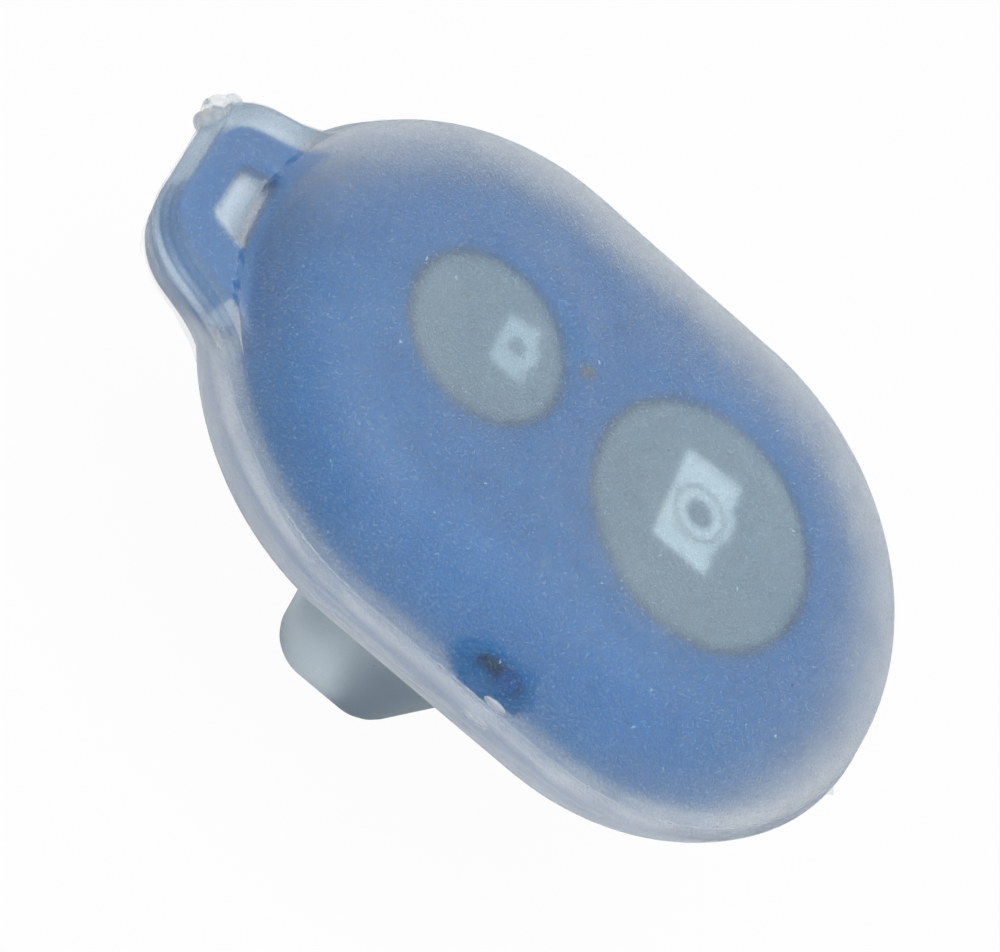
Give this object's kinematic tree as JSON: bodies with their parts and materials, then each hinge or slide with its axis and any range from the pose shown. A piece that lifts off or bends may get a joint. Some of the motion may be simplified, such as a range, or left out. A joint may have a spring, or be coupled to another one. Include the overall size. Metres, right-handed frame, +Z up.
{
  "type": "wireless remote button",
  "caption": "Round-ended wireless remote with sprung push buttons, slide switch and coin cell, sealed in a frosted silicone skin on a moulded block.",
  "frame": {"origin": "centre of the flat end of the block that the remote stands on", "axes": "+Z up from the block's end towards the buttons, +X along the body towards the large button, the cord loop at -X and the slide switch on the -Y side"},
  "size_m": [0.0553, 0.036, 0.0277],
  "materials": {
    "silicone_skin": "frosted translucent silicone",
    "silicone_glue": "clear set silicone glue",
    "blue_case": "moulded blue plastic, satin",
    "grey_cap": "moulded dark grey plastic with pale printed pictogram",
    "green_board": "green solder mask on glass-fibre board",
    "black_plastic": "fine matt moulding",
    "ivory_plastic": "matt",
    "plated_steel": "nickel plated sheet",
    "copper_foil": "etched copper",
    "clear_plastic": "clear moulded plastic"
  },
  "bodies": {
    "remote": {"antenna": "copper_foil", "board_screws": "plated_steel", "bottom_shell": "blue_case", "capacitors": "ivory_plastic", "cell_can": "plated_steel", "cell_cap": "plated_steel", "cell_seal": "black_plastic", "circuit_board": "green_board", "cover_back": "silicone_skin", "cover_front": "silicone_skin", "crystal": "plated_steel", "indicator_led": "ivory_plastic", "large_switch_base": "black_plastic", "large_switch_plate": "plated_steel", "light_pipe": "clear_plastic", "memory_chip": "black_plastic", "negative_contact": "plated_steel", "positive_contact": "plated_steel", "radio_chip": "black_plastic", "resistors": "black_plastic", "seam_glue": "silicone_glue", "slide_switch_base": "black_plastic", "slide_switch_cover": "plated_steel", "small_switch_base": "black_plastic", "small_switch_plate": "plated_steel", "top_shell": "blue_case"},
    "large_button": {"large_button": "grey_cap"},
    "large_plunger": {"large_switch_plunger": "ivory_plastic"},
    "small_button": {"small_button": "grey_cap"},
    "small_plunger": {"small_switch_plunger": "ivory_plastic"},
    "slide_knob": {"slide_switch_knob": "black_plastic"},
    "battery_door": {"battery_door": "blue_case"}
  },
  "joints": [
    {"name": "large_button_press", "type": "slide", "parent": "remote", "child": "large_button", "axis": [0, 0, -1], "range_m": [0, 0.0003], "stiffness_N_per_m": 2000},
    {"name": "large_plunger_press", "type": "slide", "parent": "remote", "child": "large_plunger", "axis": [0, 0, -1], "range_m": [0, 0.0003]},
    {"name": "small_button_press", "type": "slide", "parent": "remote", "child": "small_button", "axis": [0, 0, -1], "range_m": [0, 0.0003], "stiffness_N_per_m": 2000},
    {"name": "small_plunger_press", "type": "slide", "parent": "remote", "child": "small_plunger", "axis": [0, 0, -1], "range_m": [0, 0.0003]},
    {"name": "slide_switch_slide", "type": "slide", "parent": "remote", "child": "slide_knob", "axis": [1, 0, 0], "range_m": [-0.0015, 0]},
    {"name": "battery_door_turn", "type": "hinge", "parent": "remote", "child": "battery_door", "pos_m": [0.001, 0, 0.0164], "axis": [0, 0, 1], "range_deg": [0, 35]}
  ],
  "couplings": [
    {"joint": "large_plunger_press", "follows": "large_button_press", "ratio": 1},
    {"joint": "small_plunger_press", "follows": "small_button_press", "ratio": 1}
  ]
}
